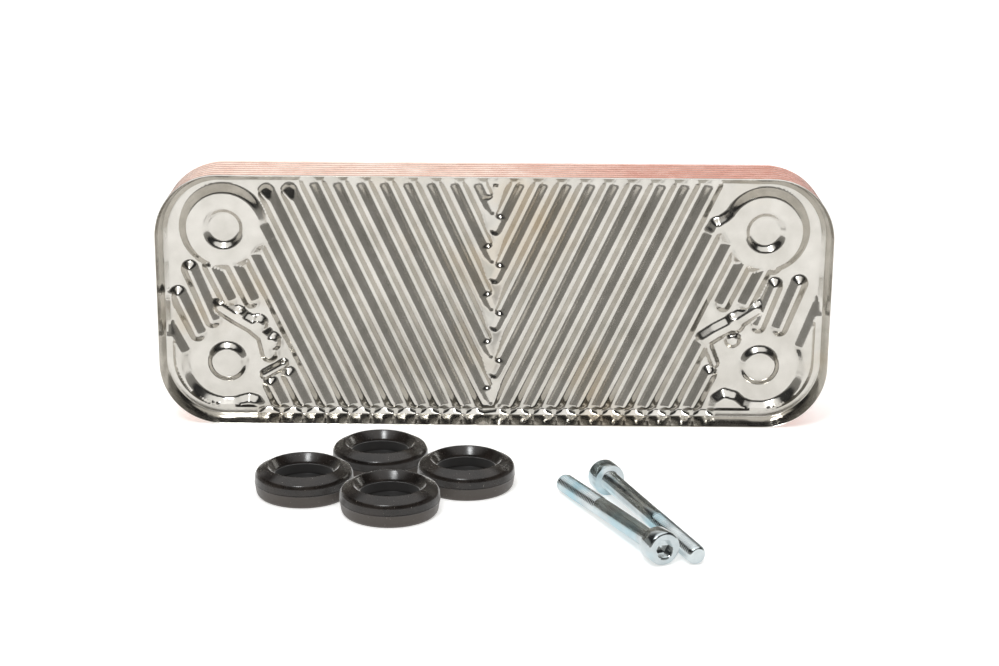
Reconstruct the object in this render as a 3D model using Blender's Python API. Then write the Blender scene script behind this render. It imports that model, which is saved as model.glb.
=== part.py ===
"""Brazed plate heat exchanger for hot water, with its four ring seals and two socket cap screws.

Run with: blender --background --python part.py

Frame: metres, +Z up. The pack stands on its long edge. X runs along the plates, the closed
cover plate faces -Y and the four ports open towards +Y. The origin is on the surface that the
pack stands on, at the middle of the fourth plate's rim.
"""

import math

import bmesh
import bpy
from mathutils import Matrix, Vector
from mathutils.geometry import delaunay_2d_cdt

MM = 0.001

# Plate outline, measured outside the rim, and the skirt that flares towards -Y.
PLATE_LENGTH = 191.4 * MM
PLATE_HEIGHT = 73.2 * MM
CORNER_RADIUS = 18.0 * MM
SKIRT_DEPTH = 7.4 * MM
RIM_WIDTH = 0.8 * MM
SKIRT_FLARE = 1.1 * MM
SKIRT_SHEET = 0.2 * MM
CORNER_STEPS = 6

# The stack.
PLATE_PITCH = 2.6 * MM
CHANNEL_PLATES = 6
CHANNEL_SHEET = 0.3 * MM
COVER_SHEET = 0.6 * MM
COVER_RELIEF = 2.0 * MM
CHANNEL_RELIEF = 1.9 * MM
RIM_PLATE_AT_ORIGIN = 3

# Ports.
PORT_SPACING_X = 154.0 * MM
PORT_SPACING_Z = 40.0 * MM
PORT_RADIUS = 8.0 * MM
PORT_STEPS = 20

# Port embosses of the cover plate.
DISC_FOOT_RADIUS = 12.3 * MM
DISC_CREST_RADIUS = 10.3 * MM
BUTTON_OUTER_RADIUS = 5.85 * MM
BUTTON_INNER_RADIUS = 4.2 * MM
CORNER_ZONE_CREST = 13.8 * MM
CORNER_ZONE_FOOT = 10.9 * MM
CORNER_ZONE_FOOT_INSET = 2.1 * MM
CORNER_ZONE_CREST_INSET = 3.4 * MM
CORNER_ZONE_LEAST_WIDTH = 0.35 * MM
CORNER_ZONE_FIRST_ANGLE = math.radians(168)
CORNER_ZONE_LAST_ANGLE = math.radians(308)
CORNER_ZONE_STEPS = 12
CORNER_ZONE_END_SLOPE = 0.12
DISC_STEPS = 24

# Herringbone ribs. The angle is from the horizontal.
RIB_ANGLE = math.radians(65.0)
COVER_RIB_PITCH = 6.0 * MM
COVER_RIB_CREST = 1.4 * MM
COVER_RIB_FOOT = 4.6 * MM
CHANNEL_RIB_PITCH = 14.0 * MM
CHANNEL_RIB_CREST = 3.0 * MM
CHANNEL_RIB_FOOT = 8.0 * MM
RIB_FIELD_HALF_HEIGHT = 32.6 * MM
SEAM_HALF_WIDTH = 1.2 * MM
RIB_RIM_CLEARANCE = 5.0 * MM
RIB_SEARCH_STEP = 0.25 * MM
# Where the first rib of each half crosses the middle line, in rib pitches from the seam.
FIRST_RIB = {-1: 0.66, 1: 0.0}
RIB_LEAST_LENGTH = 7.0 * MM
PORT_CLEARANCE = 13.6 * MM

# Back: reinforcing plate, port collars and threaded bosses.
BACK_GAP = 0.15 * MM
REINFORCING_THICKNESS = 0.8 * MM
REINFORCING_INSET = 2.6 * MM
COLLAR_OUTER_RADIUS = 12.6 * MM
COLLAR_HEIGHT = 3.0 * MM
COLLAR_CHAMFER = 0.5 * MM
BOSS_SPACING = 104.0 * MM
BOSS_RADIUS = 5.5 * MM
BOSS_HEIGHT = 7.0 * MM
BOSS_HOLE_RADIUS = 2.1 * MM
BOSS_HOLE_DEPTH = 6.0 * MM

# Copper seams between the skirts.
SEAM_LENGTH = 1.2 * MM
SEAM_INSET = 0.02 * MM
SEAM_CLEARANCE = 0.04 * MM

# Ring seals.
SEAL_OUTER_RADIUS = 13.05 * MM
SEAL_SHOULDER_RADIUS = 12.7 * MM
SEAL_CREST_RADIUS = 8.9 * MM
SEAL_LIP_RADIUS = 7.9 * MM
SEAL_BORE_RADIUS = 7.5 * MM
SEAL_HEIGHT = 7.8 * MM
SEAL_STEPS = 28
SEAL_PLACES = {
    "ring_seal_front": (-26.5 * MM, -75.0 * MM),
    "ring_seal_left": (-49.7 * MM, -62.1 * MM),
    "ring_seal_right": (-7.1 * MM, -55.9 * MM),
    "ring_seal_back": (-30.6 * MM, -43.6 * MM),
}

# Socket cap screws, M5 by 50.
SCREW_RADIUS = 2.5 * MM
SCREW_LENGTH = 50.0 * MM
SCREW_TIP_CHAMFER = 0.6 * MM
SCREW_HEAD_RADIUS = 4.25 * MM
SCREW_HEAD_HEIGHT = 5.0 * MM
SCREW_HEAD_CHAMFER = 0.5 * MM
SOCKET_ACROSS_FLATS = 4.0 * MM
SOCKET_DEPTH = 2.6 * MM
SCREW_STEPS = 24
# The middle of each head's outer face on the table, and the heading of the shaft in degrees from +X.
SCREW_PLACES = {
    "socket_screw_front": ((41.6 * MM, -110.0 * MM), 114.6),
    "socket_screw_back": ((28.9 * MM, -58.6 * MM), -67.8),
}

HALF_LENGTH = PLATE_LENGTH / 2
HALF_HEIGHT = PLATE_HEIGHT / 2
CENTRE_Z = HALF_HEIGHT
FRONT_FACE_Y = SKIRT_DEPTH - RIM_WIDTH / 2 - RIM_PLATE_AT_ORIGIN * PLATE_PITCH
LAST_PLATE = CHANNEL_PLATES + 1
BACK_FACE_Y = FRONT_FACE_Y + LAST_PLATE * PLATE_PITCH + CHANNEL_SHEET
PORTS = {
    "top_left": (-PORT_SPACING_X / 2, PORT_SPACING_Z / 2),
    "top_right": (PORT_SPACING_X / 2, PORT_SPACING_Z / 2),
    "bottom_left": (-PORT_SPACING_X / 2, -PORT_SPACING_Z / 2),
    "bottom_right": (PORT_SPACING_X / 2, -PORT_SPACING_Z / 2),
}


def clear_scene():
    for obj in list(bpy.data.objects):
        bpy.data.objects.remove(obj, do_unlink=True)


def material(name, color, roughness, metallic):
    mat = bpy.data.materials.new(name)
    mat.use_nodes = True
    shader = mat.node_tree.nodes["Principled BSDF"]
    shader.inputs["Base Color"].default_value = (*color, 1.0)
    shader.inputs["Roughness"].default_value = roughness
    shader.inputs["Metallic"].default_value = metallic
    mat.diffuse_color = (*color, 1.0)
    return mat


def add_object(name, bm, mat, smooth_angle=None):
    """Turns a bmesh into an object with outward faces, shaded smooth below smooth_angle degrees."""
    bmesh.ops.recalc_face_normals(bm, faces=bm.faces)
    mesh = bpy.data.meshes.new(name)
    bm.to_mesh(mesh)
    bm.free()
    mesh.materials.append(mat)
    if smooth_angle is not None:
        mesh.shade_smooth()
        mesh.set_sharp_from_angle(angle=math.radians(smooth_angle))
    obj = bpy.data.objects.new(name, mesh)
    bpy.context.scene.collection.objects.link(obj)
    return obj


def circle(center, radius, steps, start=0.0):
    turn = [start + 2 * math.pi * i / steps for i in range(steps)]
    return [(center[0] + radius * math.cos(a), center[1] + radius * math.sin(a)) for a in turn]


def rounded_rectangle(half_x, half_z, radius):
    """A closed outline in X and Z around the plate's centre, with round corners."""
    points = []
    for quarter, (sx, sz) in enumerate(((1, 1), (-1, 1), (-1, -1), (1, -1))):
        cx = sx * (half_x - radius)
        cz = sz * (half_z - radius)
        for step in range(CORNER_STEPS + 1):
            angle = math.pi / 2 * (quarter + step / CORNER_STEPS)
            points.append((cx + radius * math.cos(angle), cz + radius * math.sin(angle)))
    return points


def plate_outline(inset):
    """The outline at a distance inside the plate's rim."""
    return rounded_rectangle(HALF_LENGTH - inset, HALF_HEIGHT - inset, CORNER_RADIUS - inset)


def inside_plate(x, z, inset):
    """Whether a point lies inside the outline at that inset."""
    radius = CORNER_RADIUS - inset
    dx = max(abs(x) - (HALF_LENGTH - inset - radius), 0.0)
    dz = max(abs(z) - (HALF_HEIGHT - inset - radius), 0.0)
    return math.hypot(dx, dz) <= radius


def reach(center, angle, inset):
    """The distance from a point to the outline at that inset, along a direction."""
    near, far = 0.0, PLATE_LENGTH
    for _ in range(40):
        middle = (near + far) / 2
        x = center[0] + middle * math.cos(angle)
        z = center[1] + middle * math.sin(angle)
        if inside_plate(x, z, inset):
            near = middle
        else:
            far = middle
    return near


def strip(start, end, half_width, overrun):
    """A rectangle around a line, reaching past both its ends."""
    along = (Vector(end) - Vector(start)).normalized()
    side = Vector((-along.y, along.x)) * half_width
    first = Vector(start) - along * overrun
    last = Vector(end) + along * overrun
    return [tuple(p) for p in (first - side, last - side, last + side, first + side)]


def rib(start, end, crest_width, foot_width):
    """A rib's foot, at the sheet's level, and its crest, at full relief."""
    wall = (foot_width - crest_width) / 2
    foot = strip(start, end, foot_width / 2, 0.0)
    crest = strip(start, end, crest_width / 2, -wall)
    return [(foot, 0.0), (crest, 1.0)]


def rib_field(pitch, crest_width, foot_width, point_down):
    """Herringbone ribs on both halves, each cut short where it would meet a port or the rim."""
    step = RIB_SEARCH_STEP
    slope = -1.0 if point_down else 1.0
    shapes = []
    horizontal_pitch = pitch / math.sin(RIB_ANGLE)
    count = int(HALF_LENGTH / horizontal_pitch) + 6
    for side in (-1, 1):
        along = Vector((-side * math.cos(RIB_ANGLE), slope * math.sin(RIB_ANGLE)))
        for index in range(-count, count + 1):
            base = Vector((side * horizontal_pitch * (index + FIRST_RIB[side]), 0.0))
            run = []
            best = []
            reach_steps = int(1.3 * PLATE_HEIGHT / step)
            for k in range(-reach_steps, reach_steps + 1):
                spot = base + along * (k * step)
                if rib_allowed(spot, side, foot_width / 2):
                    run.append(spot)
                    if len(run) > len(best):
                        best = list(run)
                else:
                    run = []
            if len(best) * step >= max(RIB_LEAST_LENGTH, 1.4 * foot_width):
                shapes += rib(best[0], best[-1], crest_width, foot_width)
    return shapes


def rib_allowed(spot, side, half_width):
    """Whether a rib of that half width may pass here without touching a port, the seam or the rim."""
    edge = half_width / math.sin(RIB_ANGLE)
    if side * spot.x < SEAM_HALF_WIDTH + edge:
        return False
    if abs(spot.y) > RIB_FIELD_HALF_HEIGHT - half_width * math.cos(RIB_ANGLE):
        return False
    if not inside_plate(spot.x + side * edge, spot.y, RIB_RIM_CLEARANCE):
        return False
    return all(math.dist(spot, port) > PORT_CLEARANCE + half_width for port in PORTS.values())


def corner_zone(center, side):
    """The raised land between a lower port and the plate's corner, as foot and crest outlines."""
    steps = CORNER_ZONE_STEPS
    outlines = []
    for inner, inset, trim in (
        (CORNER_ZONE_FOOT, CORNER_ZONE_FOOT_INSET, 0.0),
        (CORNER_ZONE_CREST, CORNER_ZONE_CREST_INSET, CORNER_ZONE_END_SLOPE),
    ):
        first = CORNER_ZONE_FIRST_ANGLE + trim
        last = CORNER_ZONE_LAST_ANGLE - trim
        angles = [first + (last - first) * i / steps for i in range(steps + 1)]
        if side > 0:
            angles = [math.pi - a for a in angles]
        near = [(center[0] + inner * math.cos(a), center[1] + inner * math.sin(a)) for a in angles]
        far = []
        for a in reversed(angles):
            distance = max(reach(center, a, inset), inner + CORNER_ZONE_LEAST_WIDTH)
            far.append((center[0] + distance * math.cos(a), center[1] + distance * math.sin(a)))
        outlines.append(near + far)
    return [(outlines[0], 0.0), (outlines[1], 1.0)]


def cover_shapes():
    """Everything pressed into the cover plate, each outline with its level from 0 to 1."""
    shapes = rib_field(COVER_RIB_PITCH, COVER_RIB_CREST, COVER_RIB_FOOT, point_down=True)
    for name, port in PORTS.items():
        top = name.startswith("top")
        if top:
            shapes.append((circle(port, DISC_FOOT_RADIUS, DISC_STEPS), 0.0))
            shapes.append((circle(port, DISC_CREST_RADIUS, DISC_STEPS), 1.0))
        else:
            shapes += corner_zone(port, math.copysign(1, port[0]))
        shapes.append((circle(port, BUTTON_OUTER_RADIUS, DISC_STEPS), 1.0 if top else 0.0))
        shapes.append((circle(port, BUTTON_INNER_RADIUS, DISC_STEPS), 0.0 if top else 1.0))
    return shapes


def inside(point, polygon):
    """Whether a point is inside a closed outline."""
    x, z = point
    result = False
    for (x0, z0), (x1, z1) in zip(polygon, polygon[1:] + polygon[:1]):
        if (z0 > z) != (z1 > z) and x < x0 + (z - z0) / (z1 - z0) * (x1 - x0):
            result = not result
    return result


def triangulated(outlines, holes):
    """Triangles that fill the first outline and keep every other one as edges, holes left open.

    It returns the points, each point's number in the outlines, the triangles, and the edges of
    each outline.
    """
    points, edges = [], []
    for outline in outlines + holes:
        first = len(points)
        points += [Vector(p) for p in outline]
        edges.append([(first + i, first + (i + 1) % len(outline)) for i in range(len(outline))])
    flat_edges = [edge for loop in edges for edge in loop]
    spots, _, triangles, origins, _, _ = delaunay_2d_cdt(points, flat_edges, [], 1, 1e-8)
    sources = [origin[0] for origin in origins]
    place = {source: i for i, source in enumerate(sources)}
    kept = []
    for triangle in triangles:
        middle = sum((spots[i] for i in triangle), Vector((0, 0))) / 3
        if not any(inside(middle, hole) for hole in holes):
            kept.append(triangle)
    loops = [[(place[a], place[b]) for a, b in loop] for loop in edges]
    return spots, sources, kept, loops


def pressed_plate(name, floor_y, sheet, relief, shapes, holes, mat):
    """A sheet with raised shapes and holes, whose edge turns forward as a flared skirt with a rim."""
    inner_root = plate_outline(SKIRT_FLARE + SKIRT_SHEET)
    outlines = [inner_root] + [outline for outline, _ in shapes]
    levels = [0.0] * len(inner_root)
    for outline, level in shapes:
        levels += [level] * len(outline)
    levels += [0.0] * sum(len(hole) for hole in holes)
    spots, sources, triangles, loops = triangulated(outlines, holes)

    bm = bmesh.new()
    rim_count = len(inner_root)
    outer_root = plate_outline(SKIRT_FLARE)
    front, back = [], []
    for spot, source in zip(spots, sources):
        y = floor_y - relief * levels[source]
        front.append(bm.verts.new((spot.x, y, CENTRE_Z + spot.y)))
        x, z = outer_root[source] if source < rim_count else spot
        back.append(bm.verts.new((x, y + sheet, CENTRE_Z + z)))
    for triangle in triangles:
        bm.faces.new([front[i] for i in triangle])
        bm.faces.new([back[i] for i in reversed(triangle)])
    for loop in loops[len(outlines):]:
        for a, b in loop:
            bm.faces.new((front[a], front[b], back[b], back[a]))

    edge_ring = [a for a, _ in loops[0]]
    rings = [[front[i] for i in edge_ring]]
    for inset, depth in (
        (SKIRT_SHEET, SKIRT_DEPTH - RIM_WIDTH),
        (SKIRT_SHEET, SKIRT_DEPTH),
        (0.0, SKIRT_DEPTH),
        (0.0, SKIRT_DEPTH - RIM_WIDTH),
    ):
        rings.append([bm.verts.new((x, floor_y - depth, CENTRE_Z + z)) for x, z in plate_outline(inset)])
    rings.append([back[i] for i in edge_ring])
    bridge(bm, rings)
    return add_object(name, bm, mat, smooth_angle=35)


def bridge(bm, rings, closed=False):
    """Joins each ring of vertices to the next with quads, and the last to the first when closed."""
    pairs = list(zip(rings, rings[1:]))
    if closed:
        pairs.append((rings[-1], rings[0]))
    for lower, upper in pairs:
        count = len(lower)
        for i in range(count):
            j = (i + 1) % count
            bm.faces.new((lower[i], lower[j], upper[j], upper[i]))


def braze_seam(name, floor_y, mat):
    """The copper fillet on the outside of one plate's skirt, just ahead of the next plate's rim."""
    next_rim = floor_y + PLATE_PITCH - SKIRT_DEPTH
    slope = SKIRT_FLARE / (SKIRT_DEPTH - RIM_WIDTH)
    tail = next_rim - SEAM_LENGTH
    head = next_rim - SEAM_CLEARANCE
    rings = []
    for y, wall_y in ((tail, tail), (head, None), (head, next_rim)):
        inset = SEAM_INSET
        if wall_y is not None:
            inset = slope * (wall_y - (floor_y - SKIRT_DEPTH + RIM_WIDTH)) - SEAM_CLEARANCE
        rings.append([(x, y, CENTRE_Z + z) for x, z in plate_outline(inset)])
    bm = bmesh.new()
    bridge(bm, [[bm.verts.new(p) for p in ring] for ring in rings], closed=True)
    return add_object(name, bm, mat, smooth_angle=30)


def reinforcing_plate(mat):
    """The flat plate brazed behind the stack, with a clear hole at each port."""
    y0 = BACK_FACE_Y + BACK_GAP
    y1 = y0 + REINFORCING_THICKNESS
    holes = [circle(port, PORT_RADIUS, PORT_STEPS) for port in PORTS.values()]
    spots, _, triangles, loops = triangulated([plate_outline(REINFORCING_INSET)], holes)
    bm = bmesh.new()
    front = [bm.verts.new((s.x, y0, CENTRE_Z + s.y)) for s in spots]
    back = [bm.verts.new((s.x, y1, CENTRE_Z + s.y)) for s in spots]
    for triangle in triangles:
        bm.faces.new([front[i] for i in triangle])
        bm.faces.new([back[i] for i in reversed(triangle)])
    for a, b in [edge for loop in loops for edge in loop]:
        bm.faces.new((front[a], front[b], back[b], back[a]))
    return add_object("reinforcing_plate", bm, mat, smooth_angle=30)


def turned(name, profile, steps, mat, smooth_angle=30):
    """A closed profile of (radius, height) turned about local +Z, with no point on the axis."""
    bm = bmesh.new()
    rings = []
    for radius, height in profile:
        rings.append([bm.verts.new((x, y, height)) for x, y in circle((0, 0), radius, steps)])
    bridge(bm, rings, closed=True)
    return add_object(name, bm, mat, smooth_angle)


def port_collar(name, port, mat):
    """A steel ring brazed around a port, whose flat outer face is the seat of a ring seal."""
    top = COLLAR_HEIGHT
    profile = [
        (PORT_RADIUS, 0.0),
        (COLLAR_OUTER_RADIUS, 0.0),
        (COLLAR_OUTER_RADIUS, top - COLLAR_CHAMFER),
        (COLLAR_OUTER_RADIUS - COLLAR_CHAMFER, top),
        (PORT_RADIUS + COLLAR_CHAMFER, top),
        (PORT_RADIUS, top - COLLAR_CHAMFER),
    ]
    obj = turned(name, profile, PORT_STEPS, mat)
    obj.rotation_euler.x = -math.pi / 2
    obj.location = (port[0], BACK_FACE_Y + 2 * BACK_GAP + REINFORCING_THICKNESS, CENTRE_Z + port[1])
    return obj


def capped(name, profile, mat, smooth_angle=30):
    """An open profile of (ring of points, height), closed by a flat face at each end."""
    bm = bmesh.new()
    rings = [[bm.verts.new((x, y, height)) for x, y in ring] for ring, height in profile]
    bridge(bm, rings)
    bm.faces.new(rings[0])
    bm.faces.new(rings[-1])
    return add_object(name, bm, mat, smooth_angle)


def screw_boss(name, x, mat):
    """A blind threaded bush for a fixing screw."""
    steps = PORT_STEPS
    chamfer = COLLAR_CHAMFER
    profile = [
        (circle((0, 0), BOSS_RADIUS, steps), 0.0),
        (circle((0, 0), BOSS_RADIUS, steps), BOSS_HEIGHT - chamfer),
        (circle((0, 0), BOSS_RADIUS - chamfer, steps), BOSS_HEIGHT),
        (circle((0, 0), BOSS_HOLE_RADIUS + chamfer, steps), BOSS_HEIGHT),
        (circle((0, 0), BOSS_HOLE_RADIUS, steps), BOSS_HEIGHT - chamfer),
        (circle((0, 0), BOSS_HOLE_RADIUS, steps), BOSS_HEIGHT - BOSS_HOLE_DEPTH),
    ]
    obj = capped(name, profile, mat)
    obj.rotation_euler.x = -math.pi / 2
    obj.location = (x, BACK_FACE_Y + 2 * BACK_GAP + REINFORCING_THICKNESS, CENTRE_Z)
    return obj


def ring_seal(name, place, mat):
    """A moulded rubber ring: a parting line round its waist, a raised crest and an inner lip."""
    height = SEAL_HEIGHT
    profile = [
        (SEAL_BORE_RADIUS, 0.9 * MM),
        (SEAL_CREST_RADIUS, 0.0),
        (SEAL_SHOULDER_RADIUS - 0.7 * MM, 0.0),
        (SEAL_SHOULDER_RADIUS, 0.8 * MM),
        (SEAL_OUTER_RADIUS, 0.46 * height),
        (SEAL_SHOULDER_RADIUS, height - 1.6 * MM),
        (SEAL_CREST_RADIUS + 0.3 * MM, height),
        (SEAL_CREST_RADIUS - 0.2 * MM, height),
        (SEAL_LIP_RADIUS, height - 2.3 * MM),
        (SEAL_BORE_RADIUS, height - 2.9 * MM),
    ]
    obj = turned(name, profile, SEAL_STEPS, mat, smooth_angle=25)
    obj.location = (place[0], place[1], 0.0)
    return obj


def hexagon(across_flats, steps):
    """Points on a hexagon, as many as the round rings they join."""
    points = []
    for i in range(steps):
        angle = 2 * math.pi * i / steps
        from_flat = (angle + math.pi / 6) % (math.pi / 3) - math.pi / 6
        radius = across_flats / 2 / math.cos(from_flat)
        points.append((radius * math.cos(angle), radius * math.sin(angle)))
    return points


def socket_screw(name, place, mat):
    """A cap screw lying down: its head's rim and its tip both touch the surface."""
    (x, y), heading = place
    steps = SCREW_STEPS
    head, shaft = SCREW_HEAD_RADIUS, SCREW_RADIUS
    total = SCREW_HEAD_HEIGHT + SCREW_LENGTH
    socket = hexagon(SOCKET_ACROSS_FLATS, steps)
    profile = [
        (socket, SOCKET_DEPTH),
        (socket, 0.0),
        (circle((0, 0), head - SCREW_HEAD_CHAMFER, steps), 0.0),
        (circle((0, 0), head, steps), SCREW_HEAD_CHAMFER),
        (circle((0, 0), head, steps), SCREW_HEAD_HEIGHT),
        (circle((0, 0), shaft, steps), SCREW_HEAD_HEIGHT),
        (circle((0, 0), shaft, steps), total - SCREW_TIP_CHAMFER),
        (circle((0, 0), shaft - SCREW_TIP_CHAMFER, steps), total),
    ]
    obj = capped(name, profile, mat)
    dip = math.atan((head - shaft) / (SCREW_LENGTH - SCREW_TIP_CHAMFER))
    lift = head * math.cos(dip) + SCREW_HEAD_HEIGHT * math.sin(dip)
    turn = Matrix.Rotation(math.radians(heading), 4, "Z") @ Matrix.Rotation(math.pi / 2 + dip, 4, "Y")
    obj.matrix_world = Matrix.Translation((x, y, lift)) @ turn
    return obj


def build():
    clear_scene()
    steel = material("stainless_steel", (0.78, 0.76, 0.72), 0.22, 1.0)
    inner_steel = material("stainless_channel", (0.72, 0.70, 0.66), 0.3, 1.0)
    copper = material("braze_copper", (0.72, 0.42, 0.30), 0.35, 1.0)
    rubber = material("seal_rubber", (0.035, 0.033, 0.032), 0.5, 0.0)
    zinc = material("zinc_plating", (0.78, 0.82, 0.84), 0.18, 1.0)

    port_holes = [circle(port, PORT_RADIUS, PORT_STEPS) for port in PORTS.values()]
    pressed_plate("cover_plate", FRONT_FACE_Y, COVER_SHEET, COVER_RELIEF, cover_shapes(), [], steel)
    for index in range(1, LAST_PLATE + 1):
        ribs = rib_field(CHANNEL_RIB_PITCH, CHANNEL_RIB_CREST, CHANNEL_RIB_FOOT, index % 2 == 0)
        name = "port_plate" if index == LAST_PLATE else f"channel_plate_{index}"
        floor_y = FRONT_FACE_Y + index * PLATE_PITCH
        pressed_plate(name, floor_y, CHANNEL_SHEET, CHANNEL_RELIEF, ribs, port_holes, inner_steel)
        braze_seam(f"braze_seam_{index}", floor_y - PLATE_PITCH, copper)
    reinforcing_plate(steel)
    for name, port in PORTS.items():
        port_collar(f"port_collar_{name}", port, steel)
    screw_boss("screw_boss_left", -BOSS_SPACING / 2, steel)
    screw_boss("screw_boss_right", BOSS_SPACING / 2, steel)
    for name, place in SEAL_PLACES.items():
        ring_seal(name, place, rubber)
    for name, place in SCREW_PLACES.items():
        socket_screw(name, place, zinc)


build()
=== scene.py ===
"""Looks of a brazed plate heat exchanger with four ring seals and two socket cap screws.

Frame: metres, +Z up, the pack stands on z = 0 and its closed cover plate faces -Y.
Plate coordinates (u, v) are millimetres from the middle of the plate, u along +X and v along +Z.
"""

import math

import bpy
import numpy as np
from mathutils import Matrix, Vector


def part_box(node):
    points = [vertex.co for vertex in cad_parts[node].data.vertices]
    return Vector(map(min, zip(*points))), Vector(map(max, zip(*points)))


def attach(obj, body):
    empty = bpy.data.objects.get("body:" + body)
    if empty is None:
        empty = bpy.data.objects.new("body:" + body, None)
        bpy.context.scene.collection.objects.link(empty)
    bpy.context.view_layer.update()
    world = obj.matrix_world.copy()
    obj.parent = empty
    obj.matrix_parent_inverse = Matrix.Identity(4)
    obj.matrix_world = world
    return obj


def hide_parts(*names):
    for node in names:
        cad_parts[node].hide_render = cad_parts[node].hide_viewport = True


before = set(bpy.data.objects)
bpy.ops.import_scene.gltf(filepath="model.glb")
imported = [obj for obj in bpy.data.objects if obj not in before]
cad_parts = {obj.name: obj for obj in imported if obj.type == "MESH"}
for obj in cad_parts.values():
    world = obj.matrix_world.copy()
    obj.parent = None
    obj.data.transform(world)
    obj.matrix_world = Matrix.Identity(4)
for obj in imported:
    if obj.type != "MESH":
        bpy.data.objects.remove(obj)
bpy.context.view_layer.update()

MM = 0.001

# ---------------------------------------------------------------- sizes from the frame

cover_low, cover_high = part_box("cover_plate")
HALF_LENGTH = (cover_high.x - cover_low.x) / 2 / MM
HALF_HEIGHT = (cover_high.z - cover_low.z) / 2 / MM
CENTRE_Z = (cover_high.z + cover_low.z) / 2 / MM
CORNER_RADIUS = 18.0
SKIRT_DEPTH = 7.4
RIM_DEPTH = 0.8
SKIRT_FLARE = 1.1
SKIRT_SHEET = 0.2
COVER_SHEET = 0.6
COVER_RELIEF = 1.9
CHANNEL_SHEET = 0.3
CHANNEL_RELIEF = 1.9
CHANNELS = 6
# The 45 degree fold between a plate's field and its skirt, and the bends at both its ends.
ROOT_FOLD = 1.9
ROOT_BEND = 0.8
PORTS = {
    name: tuple(
        (low + high) / 2 / MM
        for low, high in zip(*[(p.x, p.z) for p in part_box(f"port_collar_{name}")])
    )
    for name in ("top_left", "top_right", "bottom_left", "bottom_right")
}
PORT_RADIUS = 8.0
PORTS_UV = {name: (x, z - CENTRE_Z) for name, (x, z) in PORTS.items()}


def floor_of(node):
    """The y of a pressed plate's flat, in millimetres, from the front of its rim."""
    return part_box(node)[0].y / MM + SKIRT_DEPTH


# ---------------------------------------------------------------- mesh helpers


def add_piece(name, points, faces, mat, body, nodes=(), sharp=None):
    """A mesh piece from points in millimetres, riding on a body."""
    mesh = bpy.data.meshes.new(name)
    mesh.from_pydata((np.asarray(points, float) * MM).tolist(), [], faces)
    mesh.update()
    mesh.materials.append(mat)
    mesh.shade_smooth()
    if sharp is not None:
        mesh.set_sharp_from_angle(angle=math.radians(sharp))
    obj = bpy.data.objects.new(name, mesh)
    bpy.context.scene.collection.objects.link(obj)
    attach(obj, body)
    if nodes:
        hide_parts(*nodes)
    return obj


def ring_faces(rows, count, closed=False):
    """Quads between rows of `count` points each; the last row joins the first when closed."""
    faces = []
    pairs = [(r, r + 1) for r in range(rows - 1)] + ([(rows - 1, 0)] if closed else [])
    for a, b in pairs:
        for i in range(count):
            j = (i + 1) % count
            faces.append((a * count + i, a * count + j, b * count + j, b * count + i))
    return faces


def outline_points(inset, corner_steps=28, edge_step=1.0):
    """The plate outline at an inset, as points and outward directions, anticlockwise."""
    radius = CORNER_RADIUS - inset
    cx, cz = HALF_LENGTH - CORNER_RADIUS, HALF_HEIGHT - CORNER_RADIUS
    points, outward = [], []
    corners = ((cx, cz), (-cx, cz), (-cx, -cz), (cx, -cz))
    for quarter, (x, z) in enumerate(corners):
        for step in range(corner_steps + 1):
            angle = math.pi / 2 * (quarter + step / corner_steps)
            out = (math.cos(angle), math.sin(angle))
            points.append((x + radius * out[0], z + radius * out[1]))
            outward.append(out)
        nx, nz = corners[(quarter + 1) % 4]
        length = math.hypot(nx - x, nz - z)
        count = int(length / edge_step)
        for step in range(1, count):
            t = step / count
            points.append(
                (x + (nx - x) * t + radius * out[0], z + (nz - z) * t + radius * out[1])
            )
            outward.append(out)
    return np.array(points), np.array(outward)


def snapped_to_outline(u, v, inset):
    """The nearest points of the outline at an inset, and its outward directions there."""
    cx, cz = HALF_LENGTH - CORNER_RADIUS, HALF_HEIGHT - CORNER_RADIUS
    radius = CORNER_RADIUS - inset
    qu, qv = np.clip(u, -cx, cx), np.clip(v, -cz, cz)
    du, dv = u - qu, v - qv
    size = np.hypot(du, dv)
    # A point inside the core goes to the nearest straight edge.
    inner = size < 1e-9
    gap_u = HALF_LENGTH - np.abs(u)
    gap_v = HALF_HEIGHT - np.abs(v)
    du = np.where(inner, np.where(gap_u < gap_v, np.sign(u), 0.0), du)
    dv = np.where(inner, np.where(gap_u < gap_v, 0.0, np.sign(v)), dv)
    size = np.hypot(du, dv)
    du, dv = du / size, dv / size
    edge_u = np.where(inner & (gap_u < gap_v), np.sign(u) * cx, qu)
    edge_v = np.where(inner & (gap_u >= gap_v), np.sign(v) * cz, qv)
    return edge_u + radius * du, edge_v + radius * dv, du, dv


def outline_distance(u, v):
    """Signed distance to the plate's outer outline, negative inside."""
    cx, cz = HALF_LENGTH - CORNER_RADIUS, HALF_HEIGHT - CORNER_RADIUS
    du, dv = np.abs(u) - cx, np.abs(v) - cz
    outside = np.hypot(np.maximum(du, 0), np.maximum(dv, 0))
    return outside + np.minimum(np.maximum(du, dv), 0) - CORNER_RADIUS


# ---------------------------------------------------------------- pressed relief


def wall(share):
    """A pressed wall's height from 0 to 1 along its width, rounded at foot and crest."""
    bend = 0.12
    t = np.clip(share, 0, 1)
    slope = 1 / (1 - bend)
    low = 0.5 * slope / bend * t * t
    high = 1 - 0.5 * slope / bend * (1 - t) ** 2
    middle = 0.5 * slope * bend + slope * (t - bend)
    return np.where(t < bend, low, np.where(t > 1 - bend, high, middle))


def segment_distance(u, v, start, end):
    (x0, y0), (x1, y1) = start, end
    dx, dy = x1 - x0, y1 - y0
    along = np.clip(((u - x0) * dx + (v - y0) * dy) / max(dx * dx + dy * dy, 1e-12), 0, 1)
    return np.hypot(u - x0 - along * dx, v - y0 - along * dy)


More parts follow.
